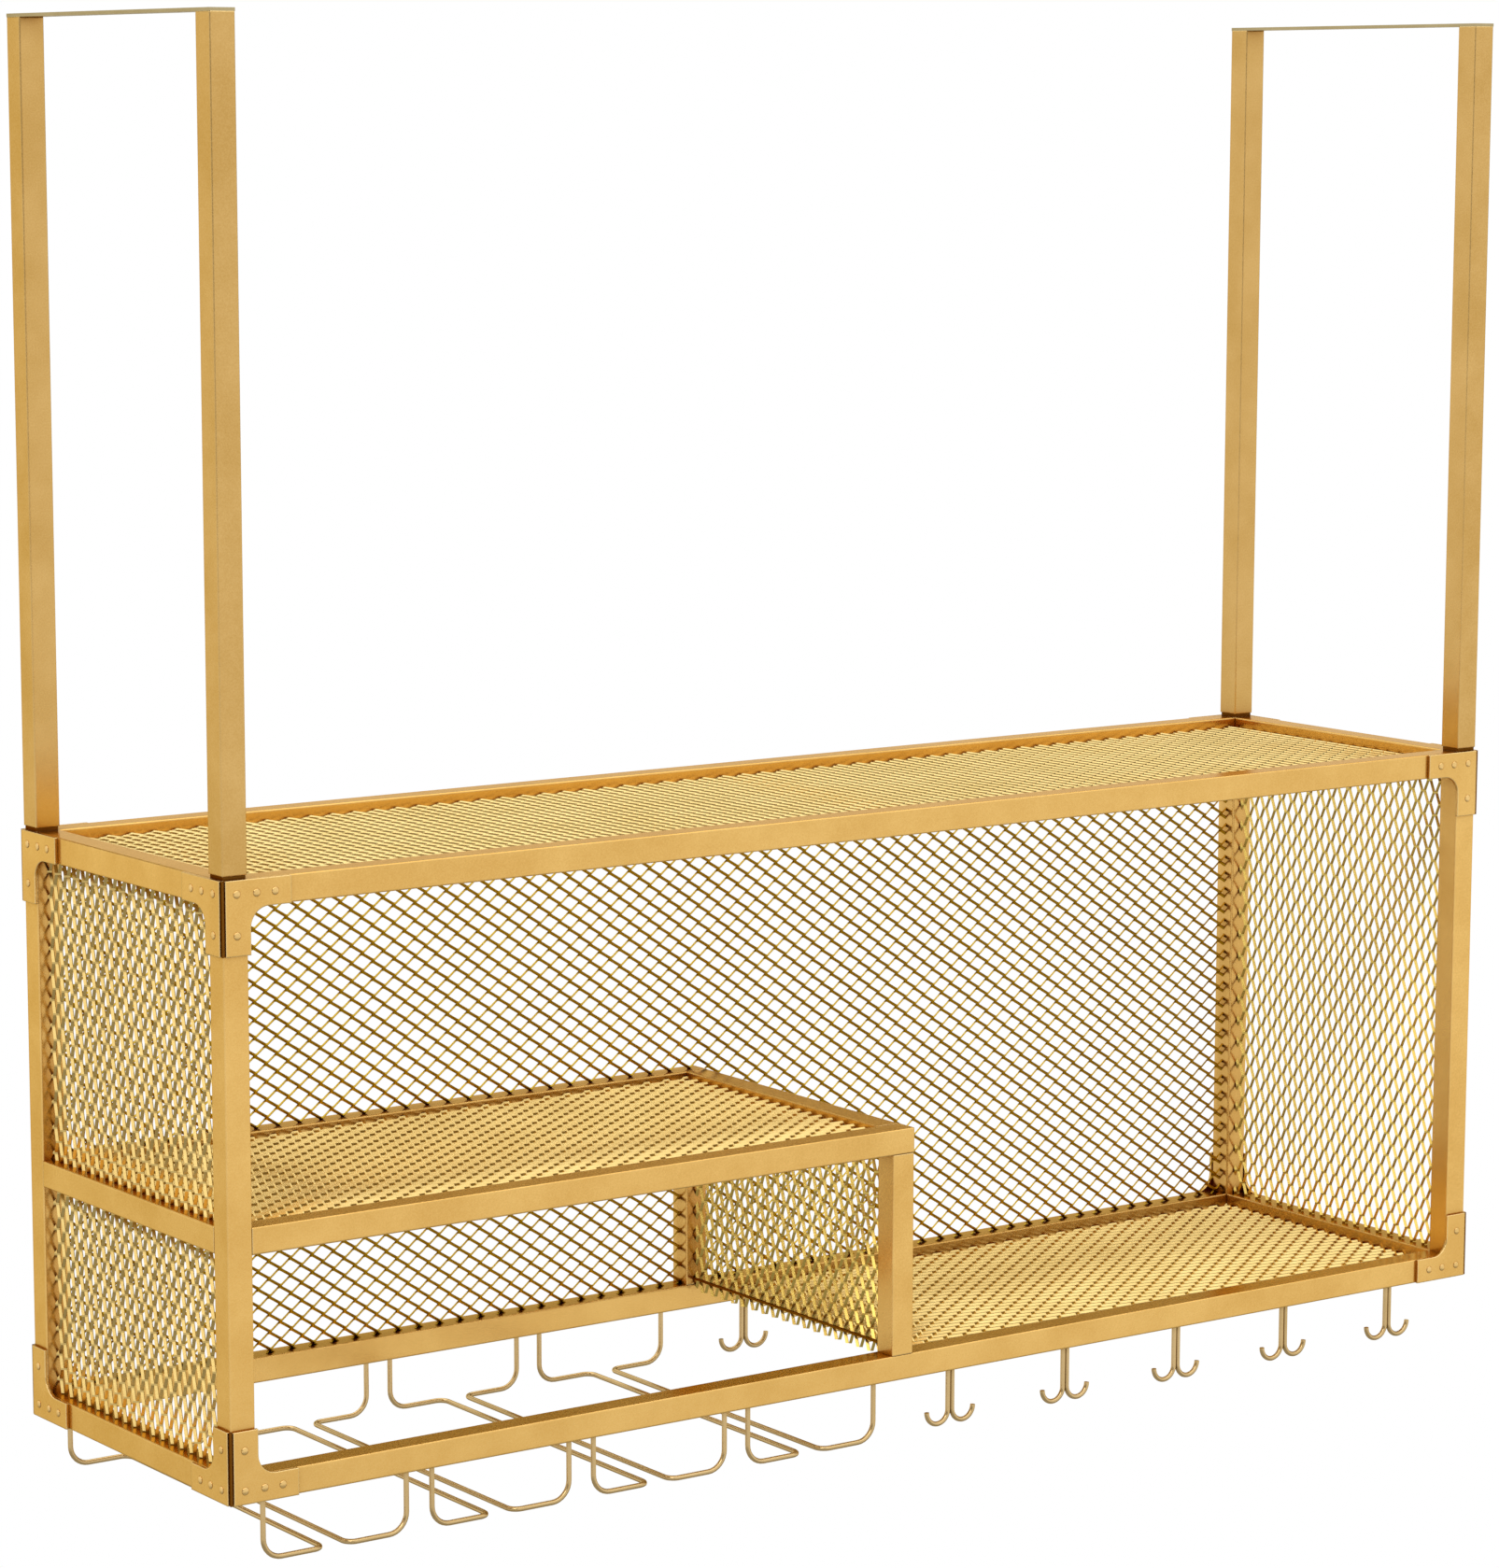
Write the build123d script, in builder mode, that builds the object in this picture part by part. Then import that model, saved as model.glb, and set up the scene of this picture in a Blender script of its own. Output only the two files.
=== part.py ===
from build123d import *
from math import cos, hypot, pi, sin
import os

# Hanging wine glass rack. The origin is the centre of the four ceiling screws,
# on the ceiling plane. X runs along the rack, Y from front to rear, Z up.

# Overall size
rack_width = 1200
rack_depth = 300
cage_height = 450
hanger_drop = 600  # from the ceiling to the cage

# Square tube of the whole frame
tube_side = 20
tube_wall = 1.5
tube_round = 1

# Ceiling straps and their screw holes
strap_thickness = 2.5
screw_inset = 60
screw_radius = 2.5

# Spigots that plug each hanger post onto its cage post
spigot_clearance = 0.2
spigot_reach = 25
collar_height = 3
collar_step = 1

# Glass shelf of the left bay and the partition under it
shelf_drop = 250
partition_x = 0

# Flat L-shaped plates riveted over the cage corners
plate_arm = 54
plate_thickness = 2.5
plate_fillet = 15
corner_gap = 1

# Expanded metal of the panels, drawn at a coarser pitch with the same slant
net_pitch_long = 103
net_pitch_short = 75
net_strand = 3
net_thickness = 2

# Middle planes of the level panels, below the tops of the tubes that frame them
top_net_sink = 9
glass_net_sink = 5.5
floor_net_sink = 10

# Gap from the partition to the floor panel, and how far the partition panel hangs past its posts
floor_net_gap = 19
partition_net_drop = 5.5

# Round wire of the stem guides and hooks, drawn with eight sides
wire_diameter = 4
wire_sides = 8

# Stem guides under the left bay
slot_count = 4
slot_clear = 16
slot_post_gap = 22
guide_drop = 47
guide_corner = 15
guide_turn = 8
guide_weld = 8
bend_steps = 3

# Double hooks under the right bay
hook_count = 5
hook_inset_partition = 45
hook_inset_end = 57
hook_drop = 44.6
hook_radius = 10.5
hook_steps = 6

# Levels, from the ceiling down
hanger_top = -strap_thickness
cage_top = -hanger_drop
hanger_bottom = cage_top + collar_height
cage_bottom = cage_top - cage_height
shelf_top = cage_top - shelf_drop
shelf_bottom = shelf_top - tube_side

# Tube centre lines and the clear space between opposite tubes
half_tube = tube_side / 2
post_x = rack_width / 2 - half_tube
post_y = rack_depth / 2 - half_tube
clear_x = post_x - half_tube
clear_y = post_y - half_tube
partition_left = partition_x - half_tube
partition_right = partition_x + half_tube

ends = {"left": -1, "right": 1}
faces = {"front": -1, "rear": 1}

os.makedirs("parts", exist_ok=True)


def write(piece, name):
    piece.part.label = name
    export_step(piece.part, f"parts/{name}.step")


def tube_section():
    RectangleRounded(tube_side, tube_side, tube_round)
    Rectangle(tube_side - 2 * tube_wall, tube_side - 2 * tube_wall, mode=Mode.SUBTRACT)


# Ceiling straps, one over the two hanger posts of each end
for end, x_sign in ends.items():
    with BuildPart() as strap:
        with BuildSketch(Plane.XY.offset(hanger_top)):
            with Locations((x_sign * post_x, 0)):
                Rectangle(tube_side, rack_depth)
        extrude(amount=strap_thickness)
        with Locations(strap.faces().sort_by(Axis.Z)[0]):
            with GridLocations(0, rack_depth - 2 * screw_inset, 1, 2):
                Hole(screw_radius)
    write(strap, f"ceiling_strap_{end}")

# Hanger posts from the straps down to the spigot collars
for end, x_sign in ends.items():
    for face, y_sign in faces.items():
        corner = (x_sign * post_x, y_sign * post_y)
        with BuildPart() as hanger_post:
            with BuildSketch(Plane.XY.offset(hanger_bottom)):
                with Locations(corner):
                    tube_section()
            extrude(amount=hanger_top - hanger_bottom)
        write(hanger_post, f"hanger_post_{face}_{end}")

        with BuildPart() as cage_post:
            with BuildSketch(Plane.XY.offset(cage_bottom)):
                with Locations(corner):
                    tube_section()
            extrude(amount=cage_height)
        write(cage_post, f"cage_post_{face}_{end}")

# Spigots: a plug in both tubes and a stepped-in collar that shows as a dark line
plug_side = tube_side - 2 * tube_wall - 2 * spigot_clearance
collar_side = tube_side - 2 * collar_step
with BuildPart() as spigots:
    with BuildSketch(Plane.XY.offset(cage_top - spigot_reach)):
        with GridLocations(2 * post_x, 2 * post_y, 2, 2):
            Rectangle(plug_side, plug_side)
    extrude(amount=collar_height + 2 * spigot_reach)
    with BuildSketch(Plane.XY.offset(cage_top)):
        with GridLocations(2 * post_x, 2 * post_y, 2, 2):
            Rectangle(collar_side, collar_side)
    extrude(amount=collar_height)
write(spigots, "hanger_spigots")

# Rails along the rack: top and bottom run post to post, mid rails serve the left bay
long_rails = {
    "top_rail": (cage_top - half_tube, clear_x),
    "bottom_rail": (cage_bottom + half_tube, clear_x),
    "mid_rail": (shelf_top - half_tube, partition_right),
}
for kind, (level, right_end) in long_rails.items():
    for face, y_sign in faces.items():
        with BuildPart() as rail:
            with BuildSketch(Plane.YZ.offset(-clear_x)):
                with Locations((y_sign * post_y, level)):
                    tube_section()
            extrude(amount=right_end + clear_x)
        write(rail, f"{kind}_{face}")

# Rails across the rack, between the front and rear tubes
cross_rails = {
    "top_rail_left": (-post_x, cage_top - half_tube),
    "top_rail_right": (post_x, cage_top - half_tube),
    "bottom_rail_left": (-post_x, cage_bottom + half_tube),
    "bottom_rail_right": (post_x, cage_bottom + half_tube),
    "mid_rail_left": (-post_x, shelf_top - half_tube),
    "mid_rail_right": (partition_x, shelf_top - half_tube),
}
for name, centre in cross_rails.items():
    with BuildPart() as rail:
        with BuildSketch(Plane.XZ):
            with Locations(centre):
                tube_section()
        extrude(amount=clear_y, both=True)
    write(rail, name)

# Short partition posts between the bottom rails and the mid rails
for face, y_sign in faces.items():
    with BuildPart() as partition_post:
        with BuildSketch(Plane.XY.offset(cage_bottom + tube_side)):
            with Locations((partition_x, y_sign * post_y)):
                tube_section()
        extrude(amount=shelf_bottom - cage_bottom - tube_side)
    write(partition_post, f"partition_post_{face}")


def expanded_metal(length, width):
    # A sheet of staggered diamond openings, its long way along local X, cut through at its edges
    columns = max(1, round(length / net_pitch_long))
    rows = max(1, round(width / net_pitch_short))
    half_long = length / columns / 2
    half_short = width / rows / 2
    open_share = 1 - net_strand / 2 * hypot(half_long, half_short) / half_long / half_short
    tip = (half_long * open_share, 0)
    peak = (0, half_short * open_share)
    far_tip = (-half_long * open_share, 0)
    low_peak = (0, -half_short * open_share)
    Rectangle(length, width)
    for extra in (0, 1):
        with GridLocations(2 * half_long, 2 * half_short, columns + extra, rows + extra):
            Polygon(tip, peak, far_tip, low_peak, mode=Mode.SUBTRACT)


# Panels of expanded metal, the upright ones in the middle plane of the tubes that frame them
bay_middle = (partition_left - clear_x) / 2
bay_length = partition_left + clear_x
sill_top = cage_bottom + tube_side
lintel = cage_top - tube_side
floor_left = partition_right + floor_net_gap
partition_foot = sill_top - partition_net_drop
upright = {"x_dir": (0, 0, 1), "z_dir": (1, 0, 0)}

flat_nets = {
    "top_shelf_net": (
        Plane((0, 0, cage_top - top_net_sink)),
        2 * clear_x,
        2 * clear_y,
    ),
    "glass_shelf_net": (
        Plane((bay_middle, 0, shelf_top - glass_net_sink)),
        bay_length,
        2 * clear_y,
    ),
    "floor_net": (
        Plane(((floor_left + clear_x) / 2, 0, sill_top - floor_net_sink)),
        clear_x - floor_left,
        2 * clear_y,
    ),
    "back_net_lower_left": (
        Plane((bay_middle, post_y, (shelf_bottom + sill_top) / 2), (1, 0, 0), (0, -1, 0)),
        bay_length,
        shelf_bottom - sill_top,
    ),
    "end_net_upper_left": (
        Plane((-post_x, 0, (lintel + shelf_top) / 2), **upright),
        lintel - shelf_top,
        2 * clear_y,
    ),
    "end_net_lower_left": (
        Plane((-post_x, 0, (shelf_bottom + sill_top) / 2), **upright),
        shelf_bottom - sill_top,
        2 * clear_y,
    ),
    "end_net_right": (
        Plane((post_x, 0, (lintel + sill_top) / 2), **upright),
        lintel - sill_top,
        2 * clear_y,
    ),
    "partition_net": (
        Plane((partition_x, 0, (shelf_bottom + partition_foot) / 2), **upright),
        shelf_bottom - partition_foot,
        2 * clear_y,
    ),
}
for name, (plane, length, width) in flat_nets.items():
    with BuildPart() as net:
        with BuildSketch(plane):
            expanded_metal(length, width)
        extrude(amount=net_thickness / 2, both=True)
    write(net, name)

# The main back panel runs round the lower left one, which has its own frame
back_plane = Plane((0, post_y, (lintel + sill_top) / 2), (1, 0, 0), (0, -1, 0))
with BuildPart() as back_net:
    with BuildSketch(back_plane):
        expanded_metal(2 * clear_x, lintel - sill_top)
        with Locations((-clear_x, (sill_top - lintel) / 2)):
            Rectangle(
                clear_x + partition_right,
                shelf_top - sill_top,
                align=(Align.MIN, Align.MIN),
                mode=Mode.SUBTRACT,
            )
    extrude(amount=net_thickness / 2, both=True)
write(back_net, "back_net")

# Corner plates in pairs, one on the front or rear face and one on the end face,
# with a narrow seam between them along the vertical edge of the cage
plate_side = tube_side
post_arm_edge = corner_gap + plate_side
plate_outline = [
    (corner_gap, 0),
    (plate_arm, 0),
    (plate_arm, plate_side),
    (post_arm_edge, plate_side),
    (post_arm_edge, plate_arm),
    (corner_gap, plate_arm),
]


for level, z_corner, z_way in (("top", cage_top, -1), ("bottom", cage_bottom, 1)):
    for end, x_sign in ends.items():
        for face, y_sign in faces.items():
            corner = (x_sign * rack_width / 2, y_sign * rack_depth / 2, z_corner)
            end_out = Vector(x_sign, 0, 0)
            face_out = Vector(0, y_sign, 0)
            post_way = Vector(0, 0, z_way)
            with BuildPart() as plates:
                for rail_way, outward in ((-end_out, face_out), (-face_out, end_out)):
                    with BuildSketch(Plane(corner, rail_way, rail_way.cross(post_way))):
                        Polygon(*plate_outline, align=None)
                        inside = vertices().sort_by_distance((post_arm_edge, plate_side))[0]
                        fillet(inside, plate_fillet)
                    extrude(amount=plate_thickness, dir=outward)
            write(plates, f"corner_plates_{level}_{face}_{end}")


def bent_wire(points):
    with BuildPart() as wire:
        with BuildLine() as route:
            Polyline(*points)
        with BuildSketch(Plane(route.line @ 0, z_dir=route.line % 0)):
            RegularPolygon(
                wire_diameter / 2,
                wire_sides,
                major_radius=False,
                rotation=180 / wire_sides,
            )
        sweep(transition=Transition.RIGHT)
    return wire


# Stem guides: two wires frame each slot that takes the stems of a row of glasses
slot_pitch = bay_length / slot_count
post_offset = (slot_pitch - slot_post_gap) / 2
run_offset = (slot_clear + wire_diameter) / 2
run_level = cage_bottom - guide_drop
first_slot = -clear_x + slot_pitch / 2
for slot in range(slot_count):
    slot_x = first_slot + slot * slot_pitch
    for side, x_sign in ends.items():
        outer_x = slot_x + x_sign * post_offset
        inner_x = slot_x + x_sign * run_offset
        rear_y = (rack_depth + wire_diameter) / 2
        if outer_x - wire_diameter / 2 < plate_arm - rack_width / 2:
            rear_y += plate_thickness
        with BuildLine():
            bends = FilletPolyline(
                (outer_x, -post_y, cage_bottom),
                (outer_x, -post_y, run_level),
                (inner_x, -post_y, run_level),
                (inner_x, rear_y, run_level),
                (outer_x, rear_y, run_level),
                (outer_x, rear_y, cage_bottom + guide_weld),
                radius=[guide_corner, guide_turn, guide_turn, guide_corner],
            )
        points = [bends @ 0]
        for edge in bends.order_edges():
            chords = bend_steps if edge.geom_type == GeomType.CIRCLE else 1
            points += [edge @ (step / chords) for step in range(1, chords + 1)]
        guide = bent_wire(points)
        write(guide, f"stem_guide_{slot + 1}_{side}")

# Double hooks: two J-shaped wires side by side, curling out to both sides
first_hook = partition_right + hook_inset_partition
last_hook = clear_x - hook_inset_end
hook_pitch = (last_hook - first_hook) / (hook_count - 1)
bend_level = cage_bottom - hook_drop + hook_radius
for index in range(hook_count):
    hook_x = first_hook + index * hook_pitch
    shank_x = hook_x + wire_diameter / 2
    bend = [
        (
            shank_x + hook_radius * (1 - cos(pi * step / hook_steps)),
            bend_level - hook_radius * sin(pi * step / hook_steps),
        )
        for step in range(hook_steps + 1)
    ]
    for face, y_sign in faces.items():
        right = bent_wire([(x, y_sign * post_y, z) for x, z in [(shank_x, cage_bottom)] + bend])
        left = mirror(right.part, about=Plane.YZ.offset(hook_x), mode=Mode.PRIVATE)
        hook = Compound([right.part, left])
        hook.label = f"double_hook_{face}_{index + 1}"
        export_step(hook, f"parts/{hook.label}.step")
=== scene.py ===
import math

import bmesh
import bpy
from mathutils import Matrix, Vector


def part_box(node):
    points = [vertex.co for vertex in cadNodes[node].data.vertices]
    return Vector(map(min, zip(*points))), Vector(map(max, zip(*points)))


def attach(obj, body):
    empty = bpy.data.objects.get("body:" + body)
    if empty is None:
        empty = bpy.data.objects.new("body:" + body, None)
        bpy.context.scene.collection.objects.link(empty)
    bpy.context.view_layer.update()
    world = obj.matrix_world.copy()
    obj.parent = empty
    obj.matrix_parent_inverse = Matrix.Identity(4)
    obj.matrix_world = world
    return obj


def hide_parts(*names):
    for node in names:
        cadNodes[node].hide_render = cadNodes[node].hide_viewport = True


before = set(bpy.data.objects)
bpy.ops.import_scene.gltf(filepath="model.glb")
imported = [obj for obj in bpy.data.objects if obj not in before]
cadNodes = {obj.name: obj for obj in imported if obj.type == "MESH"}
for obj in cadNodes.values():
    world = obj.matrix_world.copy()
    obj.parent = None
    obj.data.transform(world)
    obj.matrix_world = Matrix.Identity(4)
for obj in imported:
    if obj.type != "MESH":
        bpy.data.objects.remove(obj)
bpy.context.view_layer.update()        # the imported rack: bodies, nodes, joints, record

mm = 0.001

# Hanging wine glass rack. Its frame is square steel tube with a satin gold coat, and the solids
# carry it. Made here: the expanded metal, the bent wires, rivets, dark strips of painted shade and
# all finishes.


# Small helpers

def linearColour(hexText):
    # sRGB hex to the linear colour that shaders take
    parts = [int(hexText[i:i + 2], 16) / 255 for i in (1, 3, 5)]
    return [p / 12.92 if p <= 0.04045 else ((p + 0.055) / 1.055) ** 2.4 for p in parts] + [1]


def addNode(tree, kind, inputs=None, **settings):
    # inputs maps a socket's name or number to a value or to another node's output
    node = tree.nodes.new(kind)
    for key, value in settings.items():
        setattr(node, key, value)
    for key, value in (inputs or {}).items():
        if isinstance(value, bpy.types.NodeSocket):
            tree.links.new(value, node.inputs[key])
        else:
            node.inputs[key].default_value = value
    return node


def newPiece(name, mesh, replaced=()):
    # A finished piece at the origin, riding on the one body of the rack
    piece = bpy.data.objects.new(name, mesh)
    bpy.context.scene.collection.objects.link(piece)
    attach(piece, "root")
    if replaced:
        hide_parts(*replaced)


def bakedMesh(source, tree, values, name):
    # Runs a node tree on a source object and keeps the result as a plain mesh
    modifier = source.modifiers.new("tree", "NODES")
    modifier.node_group = tree
    for item in tree.interface.items_tree:
        if item.item_type == "SOCKET" and item.in_out == "INPUT" and item.name in values:
            modifier[item.identifier] = values[item.name]
    depsgraph = bpy.context.evaluated_depsgraph_get()
    mesh = bpy.data.meshes.new_from_object(source.evaluated_get(depsgraph), depsgraph=depsgraph)
    mesh.name = name
    source.modifiers.remove(modifier)
    bpy.data.objects.remove(source)
    return mesh


def newTree(name, sockets):
    # A geometry tree with a geometry in and out and named inputs
    tree = bpy.data.node_groups.new(name, "GeometryNodeTree")
    tree.interface.new_socket("Geometry", in_out="OUTPUT", socket_type="NodeSocketGeometry")
    tree.interface.new_socket("Geometry", in_out="INPUT", socket_type="NodeSocketGeometry")
    for label, kind, value in sockets:
        socket = tree.interface.new_socket(label, in_out="INPUT", socket_type=kind)
        if value is not None:
            socket.default_value = value
    return tree, tree.nodes.new("NodeGroupInput"), tree.nodes.new("NodeGroupOutput")


# Finishes

coatLook = {
    "cloudSize": 60 * mm,        # slow drift of the coat's tone along a tube
    "cloudShare": 0.55,          # of the way from the deep tone to the light one
    "grainSize": 1.3 * mm,       # metal flakes, drawn coarser than the real 0.05 mm to show
    "grainShare": 0.45,
    "noiseRange": (0.35, 0.65),  # the stretch of both noises that the tone follows
    "grainDepth": 0.006 * mm,
    "sheenSpread": 0.2,          # the flakes vary the roughness by this share
    "sheenRange": (0.3, 0.7),
    # edges are lightened in the base colour, partly as wear and partly as a painted highlight
    "edgeRadius": 1.5 * mm,      # of drawn tube, whose rounded edges handling wears bright
    "edgeTurn": (0.99, 0.85),    # cosine of the turn where the wear starts and where it is full
    "wearAndHighlightShare": 0.7,
    # painted shade: the AO openness at which the corner brown is full, and where the plain coat
    # returns
    "openRange": (0.3, 0.85),    # how open a spot is at the corner's tone and at the full coat
}

# Each finish is a baked metallic gold coat on steel. The tones differ from piece to piece as in the
# photograph, and the reach is how far the painted shade of a corner spreads, in brown.
coats = {
    # hanger tubes: a warm satin mirror, a little deeper than the cage, with pale edges of wear and
    # painted highlight
    "hanger": {
        "name": "satinGoldCoatOnHanger",
        "light": "#DAB26E", "deep": "#C79D56", "corner": "#8E5410", "edgeTint": "#F0D6A4",
        "roughness": 0.22, "paintedShadeReach": 22 * mm, "wearAndHighlight": "#FFE2A2"},
    # tubes and plates of the cage: the fullest coat, even and bright, with painted shade in brown
    # where tubes meet
    "frame": {
        "name": "satinGoldCoatOnFrame",
        "light": "#EDC172", "deep": "#DAAB5C", "corner": "#8E5410", "edgeTint": "#F0D6A4",
        "roughness": 0.22, "paintedShadeReach": 22 * mm, "wearAndHighlight": "#FFE6AA"},
    # flat ceiling straps: a thin dull coat, greyer and with a wider sheen
    "strap": {
        "name": "dullGoldCoatOnStrap",
        "light": "#BFAE84", "deep": "#AC9B70", "corner": "#6A4A1C", "edgeTint": "#D8CCB0",
        "roughness": 0.34, "paintedShadeReach": 10 * mm},
    # collars, seams and the foot bar: painted shade, a dark brown for the shadow in the gaps where
    # they sit
    "spigot": {
        "name": "thinCoatOnSpigot",
        "light": "#8A5A1E", "deep": "#6E4412", "corner": "#3E2208", "edgeTint": "#C89858",
        "roughness": 0.34, "paintedShadeReach": 6 * mm},
    # glass shelf and floor sheets: pale strands as painted light, with painted shade in brown at
    # the bonds and near other parts
    "shelfMesh": {
        "name": "satinGoldCoatOnShelfMesh",
        "light": "#E3C884", "deep": "#D1B471", "corner": "#80560E", "edgeTint": "#ECD090",
        "roughness": 0.26, "paintedShadeReach": 5 * mm},
    # top shelf sheet: the same, made paler as a painted highlight of the softbox's glance
    "topMesh": {
        "name": "satinGoldCoatOnTopMesh",
        "light": "#E4CA8A", "deep": "#D4BA78", "corner": "#80560E", "edgeTint": "#F4E4B8",
        "roughness": 0.26, "paintedShadeReach": 5 * mm},
    # back panels: a darker olive copy of the mesh coat as painted shade, so thin strands read as
    # olive gold against the white
    "backMesh": {
        "name": "satinGoldCoatOnBackMesh",
        "light": "#CDAE3E", "deep": "#BC9C32", "corner": "#74500C", "edgeTint": "#E0C068",
        "roughness": 0.26, "paintedShadeReach": 5 * mm},
    # left end panels: a paler copy of the mesh coat as painted light, seen on their outer face
    "endMesh": {
        "name": "satinGoldCoatOnEndMesh",
        "light": "#D8BC78", "deep": "#C8AA66", "corner": "#80560E", "edgeTint": "#ECD8A0",
        "roughness": 0.26, "paintedShadeReach": 5 * mm},
    # right end and partition panels: a yellower copy of the mesh coat as painted light, for their
    # inner face
    "innerMesh": {
        "name": "satinGoldCoatOnInnerMesh",
        "light": "#D8BC66", "deep": "#C6AA56", "corner": "#80560E", "edgeTint": "#E8C870",
        "roughness": 0.26, "paintedShadeReach": 5 * mm},
    # rivet heads: a lighter copy of the coat as a painted highlight on the domes, each with a small
    # glance of the lamp
    "rivet": {
        "name": "satinGoldCoatOnRivet",
        "light": "#F6D08A", "deep": "#E4BC74", "corner": "#A86A20", "edgeTint": "#F4DCAC",
        "roughness": 0.3, "paintedShadeReach": 3 * mm},
    # bent wires: a paler beige gold, with a thin bright line along the round
    "wire": {
        "name": "satinGoldCoatOnWire",
        "light": "#D8BA86", "deep": "#C6A873", "corner": "#7E5C24", "edgeTint": "#ECD8AC",
        "roughness": 0.24, "paintedShadeReach": 8 * mm},
}


def goldCoat(name, light, deep, corner, edgeTint, roughness, paintedShadeReach, wearAndHighlight=None):
    # A satin mirror with a slow drift in tone and a fine flake, with painted shade in brown in
    # corners and near other parts, and with edges lightened as wear and painted highlight where a
    # worn tone is given
    look = coatLook
    material = bpy.data.materials.new(name)
    material.use_nodes = True
    tree = material.node_tree
    shader = tree.nodes["Principled BSDF"]
    place = addNode(tree, "ShaderNodeTexCoord")
    cloud = addNode(tree, "ShaderNodeTexNoise",
                    {"Vector": place.outputs["Object"], "Scale": 1 / look["cloudSize"],
                     "Detail": 3.0, "Roughness": 0.6})
    grain = addNode(tree, "ShaderNodeTexNoise",
                    {"Vector": place.outputs["Object"], "Scale": 1 / look["grainSize"],
                     "Detail": 2.0, "Roughness": 0.7})
    low, high = look["noiseRange"]
    drift = addNode(tree, "ShaderNodeMapRange",
                    {"Value": cloud.outputs["Fac"], "From Min": low, "From Max": high,
                     "To Max": look["cloudShare"]})
    flake = addNode(tree, "ShaderNodeMapRange",
                    {"Value": grain.outputs["Fac"], "From Min": low, "From Max": high,
                     "To Max": look["grainShare"]})
    blend = addNode(tree, "ShaderNodeMath", {0: drift.outputs[0], 1: flake.outputs[0]},
                    operation="ADD")
    tone = addNode(tree, "ShaderNodeMix",
                   {"Factor": blend.outputs[0], 6: linearColour(deep), 7: linearColour(light)},
                   data_type="RGBA")
    sheen = addNode(tree, "ShaderNodeMapRange",
                    {"Value": grain.outputs["Fac"], "From Min": look["sheenRange"][0],
                     "From Max": look["sheenRange"][1],
                     "To Min": roughness * (1 - look["sheenSpread"]),
                     "To Max": roughness * (1 + look["sheenSpread"])})
    bump = addNode(tree, "ShaderNodeBump",
                   {"Height": grain.outputs["Fac"], "Distance": look["grainDepth"]})
    if wearAndHighlight:
        # the edge is where the rounded normal turns away from the flat one
        rounded = addNode(tree, "ShaderNodeBevel", {"Radius": look["edgeRadius"]}, samples=6)
        facing = addNode(tree, "ShaderNodeNewGeometry")
        turn = addNode(tree, "ShaderNodeVectorMath",
                       {0: rounded.outputs[0], 1: facing.outputs["True Normal"]},
                       operation="DOT_PRODUCT")
        onEdge = addNode(tree, "ShaderNodeMapRange",
                         {"Value": turn.outputs["Value"], "From Min": look["edgeTurn"][0],
                          "From Max": look["edgeTurn"][1], "To Max": look["wearAndHighlightShare"]})
        # wear and painted highlight: the edge mask lightens the base colour towards the pale edge
        # tone
        tone = addNode(tree, "ShaderNodeMix",
                       {"Factor": onEdge.outputs[0], 6: tone.outputs[2], 7: linearColour(wearAndHighlight)},
                       data_type="RGBA")
        tree.links.new(rounded.outputs[0], bump.inputs["Normal"])
    # painted shade: where the AO node finds other surfaces near, the base colour turns to the
    # corner brown
    reach = addNode(tree, "ShaderNodeAmbientOcclusion", {"Distance": paintedShadeReach}, samples=4)
    unshadedShare = addNode(tree, "ShaderNodeMapRange",
                      {"Value": reach.outputs["AO"], "From Min": look["openRange"][0],
                       "From Max": look["openRange"][1]})
    coat = addNode(tree, "ShaderNodeMix",
                   {"Factor": unshadedShare.outputs[0], 6: linearColour(corner), 7: tone.outputs[2]},
                   data_type="RGBA")
    tree.links.new(coat.outputs[2], shader.inputs["Base Color"])
    tree.links.new(sheen.outputs[0], shader.inputs["Roughness"])
    tree.links.new(bump.outputs[0], shader.inputs["Normal"])
    shader.inputs["Metallic"].default_value = 1.0
    shader.inputs["Specular Tint"].default_value = linearColour(edgeTint)
    return material


finishes = {key: goldCoat(**coat) for key, coat in coats.items()}

# The solids that don't have the frame's finish, by the start of their names
# the spigot collars take the dark brown of painted shade
solidFinishes = {"hanger_post": "hanger", "ceiling_strap": "strap", "hanger_spigots": "spigot"}


def coatSolids():
    for nodeName, solid in cadNodes.items():
        starts = [start for start in solidFinishes if nodeName.startswith(start)]
        key = solidFinishes[starts[0]] if starts else "frame"
        solid.data.materials.clear()
        solid.data.materials.append(finishes[key])
    print("finishes on", len(cadNodes), "solids")


coatSolids()


# Expanded metal panels

netSize = {
    "longPitch": 19.5 * mm,         # bond to bond along the sheet's long way
    "shortPitch": 14.2 * mm,
    "panelStrand": 2.4 * mm,        # width of a strand in the upright panels
    "shelfStrand": 2.1 * mm,        # and in the lying ones
    "sheetGauge": 1.5 * mm,
    "bondHalf": 0.7 * mm,           # half length of the straight part of a bond
    "lean": math.radians(45),       # the strands lean like louvres, as the die leaves them
    "wobble": 0.12 * mm,            # unevenness of a stretched sheet
    "wobbleSize": 45 * mm,
    "seed": 4.0,
    "spareCells": 5,                # beyond the sheet's size, before it is cut
    "mergeInCell": 0.01 * mm,
    "mergeCells": 0.02 * mm,
    "cutTolerance": 0.001 * mm,
    "faceMargin": 20 * mm,          # the cutting box stays this far off the sheet's two faces
    "notchMargin": 100 * mm,        # and the notch reaches this far past the sheet's corner
}


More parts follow.
